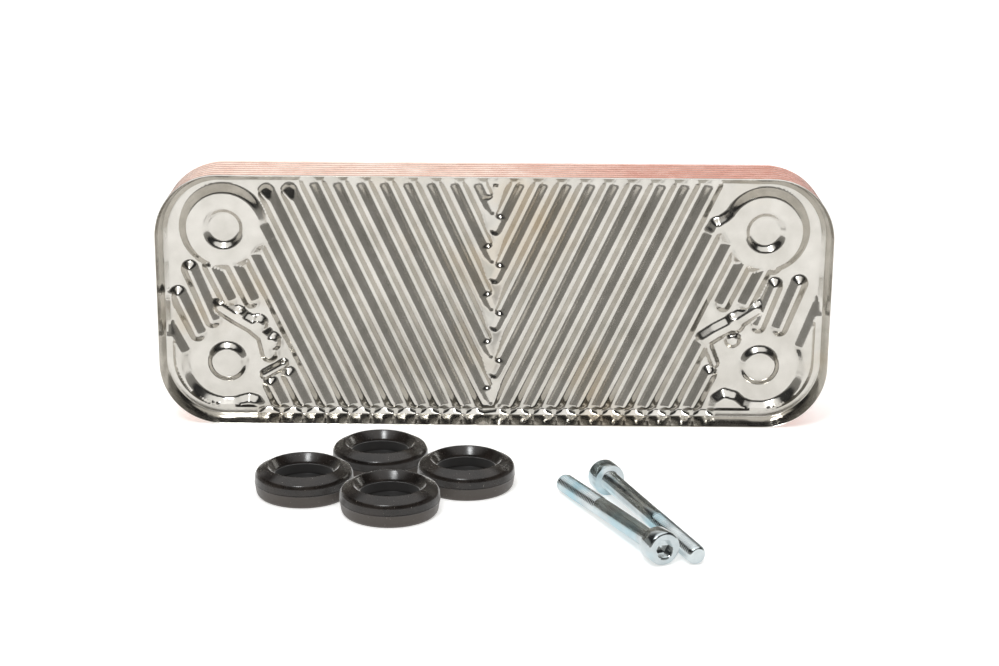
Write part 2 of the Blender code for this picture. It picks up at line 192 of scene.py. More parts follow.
def path_distance(u, v, path):
    if len(path) == 1:
        return np.hypot(u - path[0][0], v - path[0][1])
    pairs = zip(path, path[1:])
    return np.minimum.reduce([segment_distance(u, v, a, b) for a, b in pairs])


def polygon_distance(u, v, polygon):
    """Signed distance to a closed polygon, negative inside."""
    distance = path_distance(u, v, polygon + polygon[:1])
    inside = np.zeros(u.shape, bool)
    for (x0, y0), (x1, y1) in zip(polygon, polygon[1:] + polygon[:1]):
        if y0 != y1:
            crossing = x0 + (v - y0) / (y1 - y0) * (x1 - x0)
            inside ^= ((y0 > v) != (y1 > v)) & (u < crossing)
    return np.where(inside, -distance, distance)


def raised(u, v, path, crest=0.6, width=1.85):
    """Level of a ridge along a path: full within `crest` of it, falling over `width`."""
    return wall((width - (path_distance(u, v, path) - crest)) / width)


# The tops of the ribs lean away from the seam, and each half has its own pitch along v = 0.
RIB_ANGLE = math.radians(65.0)
RIB_SLOPE = 1 / math.tan(RIB_ANGLE)
LEFT_PITCH = 6.62
RIGHT_PITCH = 6.65
LEFT_FIRST = -4.36
RIB_CREST = 0.28
RIB_WALL = 2.44
RIB_TOP = 38.0
RIB_BOTTOM = -38.0
# Ribs of the left half that end lower, and the gentle caps of those that end near the top.
SHORT_LEFT_RIBS = {-8: 24.0, -7: 30.0, -6: 30.3}
CAPPED_TOPS = (29.0, 31.0)
CAP_END = 33.4
CAP_LENGTH = 5.2
FIELD_TOP = 35.9
FIELD_BOTTOM = -34.5
FIELD_END = 1.7
# The seam between both halves.
VALLEY_CREST = 0.28
LEFT_VALLEY_END = 1.9
RIGHT_VALLEY_END = 1.5
VALLEY_REACH = 60.0
SEAM_HALF = 8.0
SHELF_DEPTH = 0.55
SHELF_FOOT = -1.1
SHELF_WALL = 1.5
SHELF_REACH = 5.0
SHELF_START = -3.0
SHELF_LENGTH = 7.2
SHELF_END = 2.0
# Discs, lands and buttons round the ports.
DISC_CREST = 10.3
DISC_WALL = 2.5
LAND_RADIUS = 13.3
LAND_WALL = 2.4
GROOVE_INSET = 2.2
GROOVE_WALL = 1.3
BUTTON_CREST = 4.1
BUTTON_WALL = 1.9
BUTTON_RISE = 0.72
# How uneven the sheet is, as a share of the relief.
RIPPLE_ON_CRESTS = 0.012
RIPPLE_EVERYWHERE = 0.006


def rib_line(side, first, high, low):
    """A straight rib from height `high` to `low`; it crosses v = 0 at u = first."""
    return [(first + side * RIB_SLOPE * v, v) for v in (high, low)]


def rib_paths():
    """Centre lines of every ridge of the cover plate."""
    made = []
    for index in range(-8, 3):
        high = SHORT_LEFT_RIBS.get(index, RIB_TOP)
        made.append(rib_line(-1, LEFT_FIRST + LEFT_PITCH * index, high, RIB_BOTTOM))
    # Ridges that grow out of the upper left disc.
    made.append(rib_line(-1, -64.0, 15.0, RIB_BOTTOM))
    made.append(rib_line(-1, -70.6, 12.0, -1.6))
    made.append(rib_line(-1, -77.2, 8.5, -1.6))
    made.append([(-87.0, 7.6), (-81.0, -7.6)])
    made.append([(-90.6, 0.0), (-85.4, -11.6)])
    made.append(rib_line(-1, -77.2, -26.8, RIB_BOTTOM))
    made.append(rib_line(-1, -70.6, -24.0, RIB_BOTTOM))
    # Right half.
    for index in range(-2, 8):
        made.append(rib_line(1, RIGHT_PITCH * index, RIB_TOP, RIB_BOTTOM))
    made.append(rib_line(1, 53.2, 21.5, RIB_BOTTOM))
    made.append(rib_line(1, 59.85, 18.0, RIB_BOTTOM))
    made.append(rib_line(1, 66.5, 12.0, -1.6))
    made.append(rib_line(1, 66.5, -12.5, RIB_BOTTOM))
    made.append(rib_line(1, 73.15, 9.0, -1.6))
    made.append(rib_line(1, 73.15, -22.5, RIB_BOTTOM))
    made.append([(80.4, 3.8), (76.2, -8.0)])
    made.append([(87.4, 4.6), (82.4, -8.8)])
    return made


def valley_paths():
    """The valleys that meet the seam: a far point, the tip and the heading of each."""
    valleys = []
    for side, first, pitch, end in (
        (-1, LEFT_FIRST, LEFT_PITCH, LEFT_VALLEY_END),
        (1, 0.0, RIGHT_PITCH, RIGHT_VALLEY_END),
    ):
        heading = (-side * math.cos(RIB_ANGLE), -math.sin(RIB_ANGLE))
        for index in range(-4, 6):
            line = first + side * pitch * (index + 0.5)
            tip = (side * end, (line * side - end) / -RIB_SLOPE)
            far = (line + side * RIB_SLOPE * VALLEY_REACH, VALLEY_REACH)
            valleys.append((far, tip, heading))
    return valleys


def arc(centre, radius, first, last, steps):
    turn = [math.radians(first + (last - first) * i / steps) for i in range(steps + 1)]
    return [(centre[0] + radius * math.cos(a), centre[1] + radius * math.sin(a)) for a in turn]


def land_outline(side, start, first_angle, lobe):
    """The crest of the raised land round a lower port, from the side edge to the ribs."""
    inner = arc(PORTS_UV["bottom_right"], LAND_RADIUS, first_angle, -84, 20)
    cx, cz = HALF_LENGTH - CORNER_RADIUS, HALF_HEIGHT - CORNER_RADIUS
    outer = arc((cx, -cz), CORNER_RADIUS, -90, 0, 16)
    foot = [(lobe[-1][0], -HALF_HEIGHT)]
    right_side = [(HALF_LENGTH, start[1]), start] + inner + lobe + foot + outer
    return [(side * x, y) for x, y in right_side]


LEFT_LOBE = [(75.0, -33.1), (73.0, -32.4), (71.0, -31.9), (69.3, -32.4), (68.4, -33.6)]
RIGHT_LOBE = [
    (74.6, -33.1), (72.0, -32.0), (70.0, -30.2), (67.2, -29.4), (65.2, -30.8), (64.3, -33.6),
]
# Side, start at the side edge, first angle round the port in degrees, and lobe of each land.
LANDS = ((-1, (94.6, -8.4), 12, LEFT_LOBE), (1, (94.6, 0.6), 25, RIGHT_LOBE))
# The raised ground that leads from each upper disc into the ribs.
RIGHT_WAVE = [
    (70.5, 27.6), (68.6, 25.5), (66.4, 23.4), (62.8, 21.0), (61.8, 19.6), (65.0, 20.3),
    (68.0, 15.6), (71.0, 12.9), (75.5, 10.4), (80.0, 9.4), (77.0, 22.0),
]
LEFT_SHOULDER = [
    (-69.9, 27.2), (-68.4, 24.8), (-66.5, 20.4), (-64.6, 16.4), (-68.5, 14.6),
    (-71.5, 11.6), (-77.0, 10.0), (-80.5, 9.3), (-77.0, 22.0),
]
# Distribution zones between the ports: path, half width of the crest, wall and height.
ZONE_RIDGES = (
    ([(-78.4, -3.4), (-74.0, -6.4), (-69.6, -9.0), (-66.2, -12.0), (-65.0, -17.5)], 0.8, 2.1, 1.0),
    ([(-73.5, -6.2)], 1.2, 1.9, 1.0),
    ([(-68.0, -9.0)], 1.5, 1.9, 1.0),
    ([(-64.2, -14.0)], 1.3, 1.9, 1.0),
    ([(-66.3, -23.9), (-60.8, -20.7)], 0.45, 1.2, 0.9),
    ([(75.4, -3.0), (71.6, -5.6), (68.0, -8.0), (64.0, -10.2), (60.8, -12.4)], 0.8, 2.1, 1.0),
    ([(69.4, -7.4)], 1.5, 1.9, 1.0),
    ([(68.9, -12.2)], 1.1, 1.7, 0.85),
    ([(61.2, -12.4), (64.0, -19.4)], 0.35, 1.3, 0.9),
)


def rib_level(u, v):
    """Level of the ridges, each kept to its own half."""
    level = np.zeros(u.shape)
    for path in rib_paths():
        side = 1 if path[0][0] > path[-1][0] else -1
        made = raised(u, v, path, RIB_CREST, RIB_WALL)
        if CAPPED_TOPS[0] < path[0][1] < CAPPED_TOPS[1]:
            made = np.minimum(made, wall((CAP_END - v) / CAP_LENGTH))
        level = np.where(side * u > 0, np.maximum(level, made), level)
    return level


def seam_level(u, v):
    """Level round the seam, where the valleys end round.

    Each lower ridge's wall runs on past the valley's end above a shelf that rises gently to
    the next ridge.
    """
    level = np.ones(u.shape)
    for far, tip, heading in valley_paths():
        level = np.minimum(level, 1 - raised(u, v, [far, tip], VALLEY_CREST, RIB_WALL))
        du, dv = u - tip[0], v - tip[1]
        along = du * heading[0] + dv * heading[1]
        across = np.abs(heading[0]) * dv - np.sign(heading[0]) * heading[1] * du
        shelf = wall((across - SHELF_FOOT + SHELF_WALL) / SHELF_WALL)
        shelf = shelf * wall((SHELF_REACH - across) / SHELF_REACH)
        length = wall((along - SHELF_START) / SHELF_END) * wall((SHELF_LENGTH - along) / SHELF_END)
        level = np.minimum(level, 1 - SHELF_DEPTH * shelf * length)
    return level


def cover_level(u, v):
    """Relief of the cover plate from 0, its flat, to 1, its crests."""
    level = np.where(np.abs(u) < SEAM_HALF, seam_level(u, v), rib_level(u, v))
    level = level * (wall((FIELD_TOP - v) / FIELD_END) * wall((v - FIELD_BOTTOM) / FIELD_END))

    for name in ("top_left", "top_right"):
        level = np.maximum(level, raised(u, v, [PORTS_UV[name]], DISC_CREST, DISC_WALL))
    for outline in (RIGHT_WAVE, LEFT_SHOULDER):
        level = np.maximum(level, wall((RIB_WALL - polygon_distance(u, v, outline)) / RIB_WALL))

    rim_groove = wall((-outline_distance(u, v) - GROOVE_INSET) / GROOVE_WALL)
    for side, start, angle, lobe in LANDS:
        land = polygon_distance(u, v, land_outline(side, start, angle, lobe))
        level = np.maximum(level, wall((LAND_WALL - land) / LAND_WALL) * rim_groove)

    for path, crest, width, height in ZONE_RIDGES:
        level = np.maximum(level, height * raised(u, v, path, crest, width))

    # Buttons are sunk into the upper discs and raised inside the lower lands.
    for name, port in PORTS_UV.items():
        button = BUTTON_RISE * raised(u, v, [port], BUTTON_CREST, BUTTON_WALL)
        if name.startswith("top"):
            level = np.minimum(level, 1 - button)
        else:
            level = np.maximum(level, button)

    ripple = np.sin(u / 9.1 + 0.7) * np.sin(v / 7.3 + 1.9) + 0.6 * np.sin(u / 4.7 - v / 6.1)
    return level * (1 + RIPPLE_ON_CRESTS * ripple) + RIPPLE_EVERYWHERE * ripple


CHANNEL_PITCH = LEFT_PITCH * 1.5
CHANNEL_CREST = 1.0
CHANNEL_WALL = 2.6
CHANNEL_EDGE = 3.4
CHANNEL_RIM = 3.2
PORT_LAND_RADIUS = 14.5
PORT_LAND_WALL = 2.5


def channel_level(up):
    """Relief of a channel plate, whose ribs point up or down."""

    def level(u, v):
        slope = RIB_SLOPE if up else -RIB_SLOPE
        phase = (np.abs(u) + slope * v) / CHANNEL_PITCH
        ridge = np.abs(phase - np.round(phase)) * CHANNEL_PITCH * math.sin(RIB_ANGLE)
        made = wall((CHANNEL_WALL - (ridge - CHANNEL_CREST)) / CHANNEL_WALL)
        made = made * wall((HALF_HEIGHT - CHANNEL_EDGE - np.abs(v)) / CHANNEL_WALL)
        made = made * wall((HALF_LENGTH - CHANNEL_EDGE - np.abs(u)) / CHANNEL_WALL)
        made = made * wall((-outline_distance(u, v) - CHANNEL_RIM) / CHANNEL_WALL)
        for name, port in PORTS_UV.items():
            away = np.hypot(u - port[0], v - port[1])
            land = 1.0 if name.endswith("left") == up else 0.0
            near = wall((PORT_LAND_RADIUS - away) / PORT_LAND_WALL)
            made = made * (1 - near) + land * near
        return made

    return level


# ---------------------------------------------------------------- pressed plates


def boundary_loops(quads):
    """Ordered loops of vertices along the quads' open edges, the longest first."""
    edges = np.concatenate([quads[:, [0, 1]], quads[:, [1, 2]], quads[:, [2, 3]], quads[:, [3, 0]]])
    forward = set(map(tuple, edges.tolist()))
    following = {a: b for a, b in forward if (b, a) not in forward}
    loops = []
    while following:
        start = min(following)
        loop = [start]
        step = following.pop(start)
        while step != start:
            loop.append(step)
            step = following.pop(step)
        loops.append(loop)
    return sorted(loops, key=len, reverse=True)


def faces_between(previous, current):
    """Quads between two closed rings of vertex numbers."""
    size = len(previous)
    pairs = [(i, (i + 1) % size) for i in range(size)]
    return [
        (int(previous[j]), int(previous[i]), int(current[i]), int(current[j])) for i, j in pairs
    ]


def grid_sheet(level, floor_y, relief, sheet, cell, inset, holes):
    """The pressed field of a plate as two skins that meet in the holes.

    It returns the points, the faces, the loop of front vertices at the outline, the offset
    from a front vertex to its back one, and the outward direction at each vertex of the loop.
    """
    nu, nv = int(2 * HALF_LENGTH / cell), int(2 * HALF_HEIGHT / cell)
    axis_u = (np.arange(nu + 1) / nu - 0.5) * 2 * HALF_LENGTH
    axis_v = (np.arange(nv + 1) / nv - 0.5) * 2 * HALF_HEIGHT
    u, v = np.meshgrid(axis_u, axis_v, indexing="ij")
    kept = outline_distance(u, v) < -inset - 0.35 * cell
    for x, y in holes:
        kept &= np.hypot(u - x, v - y) > PORT_RADIUS + 0.35 * cell
    cells = kept[:-1, :-1] & kept[1:, :-1] & kept[1:, 1:] & kept[:-1, 1:]
    number = np.arange(u.size).reshape(u.shape)
    corners = (number[:-1, :-1], number[1:, :-1], number[1:, 1:], number[:-1, 1:])
    quads = np.stack([corner[cells] for corner in corners], axis=1)
    loops = boundary_loops(quads)

    flat_u, flat_v = u.ravel().copy(), v.ravel().copy()
    rim = np.array(loops[0])
    new_u, new_v, out_u, out_v = snapped_to_outline(flat_u[rim], flat_v[rim], inset)
    flat_u[rim], flat_v[rim] = new_u, new_v
    for loop in loops[1:]:
        ring = np.array(loop)
        x, y = min(holes, key=lambda h: math.hypot(flat_u[ring[0]] - h[0], flat_v[ring[0]] - h[1]))
        away = np.hypot(flat_u[ring] - x, flat_v[ring] - y)
        flat_u[ring] = x + (flat_u[ring] - x) * PORT_RADIUS / away
        flat_v[ring] = y + (flat_v[ring] - y) * PORT_RADIUS / away

    used = np.unique(quads)
    place = np.full(u.size, -1)
    place[used] = np.arange(len(used))
    quads = place[quads]
    heights = level(flat_u[used], flat_v[used]) * relief
    front = np.stack([flat_u[used], floor_y - heights, CENTRE_Z + flat_v[used]], axis=1)
    back = front + (0.0, sheet, 0.0)
    count = len(used)
    faces = quads.tolist() + (quads[:, ::-1] + count).tolist()
    for loop in loops[1:]:
        ring = place[np.array(loop)].tolist()
        for a, b in zip(ring, ring[1:] + ring[:1]):
            faces.append((b, a, a + count, b + count))
    return np.concatenate([front, back]), faces, place[rim], count, (out_u, out_v)


def skirt_profile(sheet, inset):
    """Rings of the skirt from the fold round the rim to the back, as (inset, depth)."""
    root = SKIRT_FLARE + SKIRT_SHEET
    rings = []
    for step in range(1, 5):
        angle = math.pi / 4 * step / 4
        rings.append((inset - ROOT_BEND * math.sin(angle), ROOT_BEND * (1 - math.cos(angle))))
    for step in range(5):
        angle = math.pi / 4 * (1 + step / 4)
        rings.append((root + ROOT_BEND * (1 - math.sin(angle)), ROOT_FOLD - ROOT_BEND * math.cos(angle)))
    straight = SKIRT_DEPTH - RIM_DEPTH
    slope = SKIRT_FLARE / straight
    for depth in (2.4, 4.4, straight):
        rings.append((root - slope * depth * (root - SKIRT_SHEET) / SKIRT_FLARE, depth))
    rings += [
        (SKIRT_SHEET, SKIRT_DEPTH - 0.05),
        (SKIRT_SHEET - 0.06, SKIRT_DEPTH),
        (0.06, SKIRT_DEPTH),
        (0.0, SKIRT_DEPTH - 0.06),
        (0.0, straight + 0.1),
        (0.03, straight - 0.1),
        (SKIRT_FLARE * 0.5, straight * 0.5),
        (SKIRT_FLARE, 0.3),
    ]
    for step in range(1, 4):
        angle = math.pi / 2 * step / 4
        spread = inset - SKIRT_FLARE
        rings.append((SKIRT_FLARE + spread * (1 - math.cos(angle)), -(sheet - 0.02) * math.sin(angle)))
    return rings


def pressed_plate(name, node_name, level, relief, sheet, cell, holes, mat):
    """One pressed plate: its field, the fold at the skirt's root and the skirt."""
    floor_y = floor_of(node_name)
    inset = SKIRT_FLARE + SKIRT_SHEET + ROOT_FOLD
    points, faces, rim, count, (out_u, out_v) = grid_sheet(
        level, floor_y, relief, sheet, cell, inset, holes
    )
    base_u, base_v = points[rim][:, 0], points[rim][:, 2]
    lift = floor_y - points[rim][:, 1]
    rows, start, size, previous = [points], len(points), len(rim), rim
    for ring_inset, depth in skirt_profile(sheet, inset):
        shift = inset - ring_inset
        forward = np.full(size, depth)
        # The fold starts wherever a rib has lifted the edge of the field.
        if 0 < depth < ROOT_FOLD * 1.01 and ring_inset > SKIRT_FLARE + 0.1:
            forward = np.maximum(forward, lift)
        ring = [base_u + out_u * shift, floor_y - forward, base_v + out_v * shift]
        rows.append(np.stack(ring, axis=1))
        current = np.arange(start, start + size)
        faces += faces_between(previous, current)
        previous = current
        start += size
    faces += faces_between(previous, rim + count)
    points = np.concatenate(rows)
    return add_piece(
        name, points, faces, mat, "exchanger", [node_name], sharp=38
    )


# Waves round the outline and their shares, which make the copper's edge uneven.
SEAM_WAVES = ((17, 0.30), (41, 0.25), (73, 0.2), (131, 0.15))
# The seam's section: distance behind its front, and share of the gap that it fills.
SEAM_SECTION = ((1.25, 0.0), (0.8, 0.35), (0.4, 0.62), (0.12, 0.85), (0.0, 1.0), (0.0, 0.0))


def braze_seam(index, mat):
    """Copper that has run along the foot of a skirt, just ahead of the next plate's rim."""
    name = f"braze_seam_{index}"
    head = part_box(name)[1].y / MM
    points, outward = outline_points(0.0)
    slope = SKIRT_FLARE / (SKIRT_DEPTH - RIM_DEPTH)
    rim_back = floor_of("cover_plate" if index == 1 else f"channel_plate_{index - 1}")
    rim_back -= SKIRT_DEPTH - RIM_DEPTH
    count = len(points)
    along = np.arange(count) / count * 2 * math.pi
    swell = np.zeros(count)
    for turn, (waves, share) in enumerate(SEAM_WAVES):
        swell += share * np.sin(waves * along + 1.7 * index + 2.3 * turn)
    rows = []
    for back, fill_share in SEAM_SECTION:
        y = head - back * (1 + 0.35 * swell)
        wall_inset = slope * (y - rim_back) - 0.04
        fill = wall_inset * fill_share * (0.85 + 0.12 * swell)
        inset = np.maximum(wall_inset - fill, 0.02)
        if (back, fill_share) == (0.0, 0.0):
            inset = wall_inset + 0.02
        across = points[:, 0] - outward[:, 0] * inset
        upward = CENTRE_Z + points[:, 1] - outward[:, 1] * inset
        rows.append(np.stack([across, y, upward], axis=1))
    faces = ring_faces(len(rows), count, closed=True)
    points = np.concatenate(rows)
    return add_piece(
        f"{name}_fillet", points, faces, mat, "exchanger", [name], sharp=60
    )


# ---------------------------------------------------------------- turned parts


def rounded(profile, radius, steps=3):
    """A closed profile with each corner cut back into a small arc."""
    made = []
    count = len(profile)
    for i, corner in enumerate(profile):
        before, after = Vector(profile[i - 1]), Vector(profile[(i + 1) % count])
        corner = Vector(corner)
        back, ahead = before - corner, after - corner
        first = corner + back.normalized() * min(radius, back.length * 0.45)
        last = corner + ahead.normalized() * min(radius, ahead.length * 0.45)
        for step in range(steps + 1):
            t = step / steps
            made.append(tuple(first * (1 - t) ** 2 + corner * 2 * t * (1 - t) + last * t**2))
    return made


def turned_row(radius, height, angles):
    """One ring of points; the radius is one value, or one for each angle."""
    level = np.full(len(angles), height)
    return np.stack([radius * np.cos(angles), radius * np.sin(angles), level], axis=1)


def full_turn(steps):
    return np.arange(steps) / steps * 2 * math.pi


def turned_points(profile, steps):
    """Points of a profile of (radius, height) turned about +Z."""
    return np.concatenate([turned_row(r, h, full_turn(steps)) for r, h in profile])


def capped_faces(rows, steps):
    """Faces of turned rows that are closed at both ends."""
    last = (rows - 1) * steps
    ends = [tuple(range(steps))[::-1], tuple(range(last, last + steps))]
    return ring_faces(rows, steps) + ends


def placed(points, matrix):
    """Points in millimetres moved by a matrix."""
    rotation = np.array(matrix.to_3x3())
    return points @ rotation.T + np.array(matrix.translation)


# ---------------------------------------------------------------- materials


def node(tree, kind, inputs=None, **settings):
    made = tree.nodes.new(kind)
    for key, value in settings.items():
        setattr(made, key, value)
    for key, value in (inputs or {}).items():
        if isinstance(value, bpy.types.NodeSocket):
            tree.links.new(value, made.inputs[key])
        else:
            made.inputs[key].default_value = value
    return made


def ramp(tree, value, stops):
    made = node(tree, "ShaderNodeValToRGB", {"Fac": value})
    elements = made.color_ramp.elements
    while len(elements) < len(stops):
        elements.new(0.5)
    for element, (position, color) in zip(elements, stops):
        element.position = position
        element.color = (*color, 1.0) if len(color) == 3 else color
    return made.outputs["Color"]


def noise(tree, scale, detail=3.0, stretch=(1, 1, 1), roughness=0.55, shift=0.0):
    """Noise over the piece's own coordinates, its scale in cells per metre."""
    place = node(tree, "ShaderNodeTexCoord").outputs["Object"]
    spread = node(
        tree,
        "ShaderNodeMapping",
        {"Vector": place, "Scale": stretch, "Location": (shift, shift * 0.7, shift * 1.3)},
    )
    made = node(
        tree,
        "ShaderNodeTexNoise",
        {"Vector": spread.outputs["Vector"], "Scale": scale, "Detail": detail, "Roughness": roughness},
    )
    return made.outputs["Fac"]


def mix_color(tree, factor, first, second):
    made = node(tree, "ShaderNodeMix", data_type="RGBA")
    settings = ((made.inputs["Factor"], factor), (made.inputs[6], first), (made.inputs[7], second))
    for socket, value in settings:
        if isinstance(value, bpy.types.NodeSocket):
            tree.links.new(value, socket)
        elif isinstance(value, float):
            socket.default_value = value
        else:
            socket.default_value = (*value, 1.0)
    return made.outputs[2]


def value_range(tree, value, low, high, from_low=0.3, from_high=0.7):
    made = node(
        tree,
        "ShaderNodeMapRange",
        {"Value": value, "From Min": from_low, "From Max": from_high, "To Min": low, "To Max": high},
    )
    return made.outputs["Result"]


def bump(tree, height, distance, strength=1.0, normal=None):
    inputs = {"Height": height, "Distance": distance, "Strength": strength}
    if normal is not None:
        inputs["Normal"] = normal
    return node(tree, "ShaderNodeBump", inputs).outputs["Normal"]


def scaled(tree, value, factor):
    return node(tree, "ShaderNodeMath", {0: value, 1: factor}, operation="MULTIPLY").outputs[0]


def total(tree, first, second):
    return node(tree, "ShaderNodeMath", {0: first, 1: second}, operation="ADD").outputs[0]


def own_axis(tree, axis):
    """A coordinate of the piece itself, in metres."""
    place = node(tree, "ShaderNodeTexCoord").outputs["Object"]
    return node(tree, "ShaderNodeSeparateXYZ", {"Vector": place}).outputs[axis]


def new_material(name):
    mat = bpy.data.materials.new(name)
    mat.use_nodes = True
    return mat, mat.node_tree, mat.node_tree.nodes["Principled BSDF"]


# Between these places along X a blush grows from nothing to nearly full.
BLUSH_FROM, BLUSH_TO, BLUSH_SHARE = 0.02, 0.098, 0.95


def metal(
    name, color, dark, tint_and_painted_reflection, tint_share, roughness, grain, grain_depth, wave_depth,
    stretch=(1, 1, 1), blush=None,
):
    """Bare metal: mottled colour, patches of heat tint (on the zinc, a painted blue reflection instead),
    rolled grain and slightly uneven gloss.
    """
    mat, tree, shader = new_material(name)
    shader.inputs["Metallic"].default_value = 1.0
    mottle = noise(tree, 140, 5.0)
    base = mix_color(tree, value_range(tree, mottle, 0.0, 1.0), color, dark)
    patches = noise(tree, 34, 4.0, shift=3.1)
    # The patches are heat tint on steel and copper, and a painted reflection on the zinc.
    base = mix_color(tree, value_range(tree, patches, 0.0, tint_share, 0.52, 0.72), base, tint_and_painted_reflection)
    if blush:
        # The colour turns redder and darker towards one end of the piece.
        uneven = scaled(tree, noise(tree, 60, 5.0, shift=7.0), 0.08)
        along = total(tree, own_axis(tree, "X"), uneven)
        share = value_range(tree, along, 0.0, BLUSH_SHARE, BLUSH_FROM, BLUSH_TO)
        base = mix_color(tree, share, base, blush)
    tree.links.new(base, shader.inputs["Base Color"])
    gloss = noise(tree, 420, 4.0, shift=1.3)
    tree.links.new(value_range(tree, gloss, *roughness), shader.inputs["Roughness"])
    wavy = bump(tree, noise(tree, 170, 2.0, shift=5.0), wave_depth)
    fine = bump(tree, noise(tree, grain, 3.0, stretch), grain_depth, 1.0, wavy)
    tree.links.new(fine, shader.inputs["Normal"])
    return mat


MOULD_LINE = 0.0035
MOULD_BLEND = 0.0002
BLACK, BLOOM = (0.009, 0.007, 0.006), (0.030, 0.023, 0.019)
# The lower colour is grey painted below the mould line as a reflection of the white table; the dust is
# real.
LOWER_PAINTED_REFLECTION, DUST = (0.060, 0.049, 0.041), (0.30, 0.27, 0.24)
LOWER_DULLNESS = 0.2


def rubber_material():
    """Black moulded rubber: gloss above the mould line, duller below it with grey painted in as a
    reflection of the white table, dusty.
    """
    mat, tree, shader = new_material("moulded_rubber")
    height = own_axis(tree, "Z")
    lower = value_range(tree, height, 1.0, 0.0, MOULD_LINE - MOULD_BLEND, MOULD_LINE)
    bloom = value_range(tree, noise(tree, 160, 5.0), 0.0, 1.0, 0.35, 0.7)
    base = mix_color(tree, bloom, BLACK, BLOOM)
    # Painted reflection: the rubber is made greyer below the mould line, where it would mirror the white
    # table.
    base = mix_color(tree, lower, base, LOWER_PAINTED_REFLECTION)
    dust = value_range(tree, noise(tree, 2600, 2.0, shift=6.0), 0.0, 1.0, 0.71, 0.75)
    base = mix_color(tree, dust, base, DUST)
    tree.links.new(base, shader.inputs["Base Color"])
    gloss = value_range(tree, noise(tree, 420, 4.0, shift=2.0), 0.15, 0.30)
    gloss = total(tree, gloss, scaled(tree, lower, LOWER_DULLNESS))
    tree.links.new(gloss, shader.inputs["Roughness"])
    wavy = bump(tree, noise(tree, 260, 2.0, shift=4.0), 0.00002)
    fine = bump(tree, noise(tree, 3200, 3.0), 0.000004, 1.0, wavy)
    tree.links.new(fine, shader.inputs["Normal"])
    return mat


def painted_shade_bore_material():
    """Painted shade: the inside of a seal made near-black and matt, standing in for the shade in its
    bore.
    """
    mat, tree, shader = new_material("bore_rubber_painted_shade")
    mottle = value_range(tree, noise(tree, 300, 4.0), 0.0, 1.0)
    # These near-black colours are painted shade, not the rubber's own colour.
    base = mix_color(tree, mottle, (0.002, 0.0016, 0.0014), (0.006, 0.0045, 0.0038))
    tree.links.new(base, shader.inputs["Base Color"])
    shader.inputs["Specular IOR Level"].default_value = 0.22
    gloss = value_range(tree, noise(tree, 420, 4.0, shift=2.0), 0.30, 0.45)
    tree.links.new(gloss, shader.inputs["Roughness"])
    tree.links.new(bump(tree, noise(tree, 3200, 3.0), 0.000004), shader.inputs["Normal"])
    return mat


cover_steel = metal(
    "bright_rolled_stainless",
    color=(0.635, 0.613, 0.573), dark=(0.52, 0.50, 0.46), tint_and_painted_reflection=(0.52, 0.44, 0.33), tint_share=0.6,
    roughness=(0.09, 0.19), grain=2600, grain_depth=0.000006, wave_depth=0.000010,
)
channel_steel = metal(
    "coppered_stainless",
    color=(0.94, 0.82, 0.73), dark=(0.86, 0.62, 0.51), tint_and_painted_reflection=(0.92, 0.88, 0.82), tint_share=0.8,
    roughness=(0.16, 0.34), grain=2200, grain_depth=0.000012, wave_depth=0.000018,
    blush=(0.62, 0.24, 0.17),
)
back_steel = metal(
    "satin_stainless",
    color=(0.72, 0.71, 0.68), dark=(0.66, 0.64, 0.60), tint_and_painted_reflection=(0.58, 0.50, 0.40), tint_share=0.35,
    roughness=(0.22, 0.36), grain=5200, grain_depth=0.000006, wave_depth=0.000010,
    stretch=(1, 1, 0.06),
)
turned_steel = metal(
    "machined_stainless",
    color=(0.72, 0.71, 0.69), dark=(0.66, 0.65, 0.62), tint_and_painted_reflection=(0.60, 0.52, 0.42), tint_share=0.25,
    roughness=(0.16, 0.28), grain=6000, grain_depth=0.000004, wave_depth=0.000004,
)
copper = metal(
    "furnace_copper",
    color=(0.84, 0.52, 0.40), dark=(0.66, 0.34, 0.25), tint_and_painted_reflection=(0.88, 0.70, 0.58), tint_share=0.7,
    roughness=(0.22, 0.42), grain=1800, grain_depth=0.000014, wave_depth=0.000020,
    blush=(0.60, 0.24, 0.16),
)
# The zinc's blue-green patches are a painted reflection of blue daylight.
zinc = metal(
    "bright_zinc",
    color=(0.62, 0.67, 0.68), dark=(0.40, 0.45, 0.47), tint_and_painted_reflection=(0.22, 0.50, 0.60), tint_share=0.8,
    roughness=(0.08, 0.20), grain=2600, grain_depth=0.000006, wave_depth=0.000010,
)
rubber = rubber_material()
bore_rubber_painted_shade = painted_shade_bore_material()

# ---------------------------------------------------------------- the brazed pack

FINE_CELL = 0.4
CHANNEL_CELL = 1.1
BACK_CELL = 1.4
cover_cell = FINE_CELL
pressed_plate(
    "cover_plate_sheet", "cover_plate", cover_level, COVER_RELIEF, COVER_SHEET, cover_cell, [],
    cover_steel,
)
port_holes = list(PORTS_UV.values())
for index in range(1, CHANNELS + 2):
    source = "port_plate" if index == CHANNELS + 1 else f"channel_plate_{index}"
    pressed_plate(
        f"{source}_sheet", source, channel_level(index % 2 == 0), CHANNEL_RELIEF, CHANNEL_SHEET,
        CHANNEL_CELL, port_holes, channel_steel,
    )
    braze_seam(index, copper)


def flat_level(u, v):
    return np.zeros(u.shape)


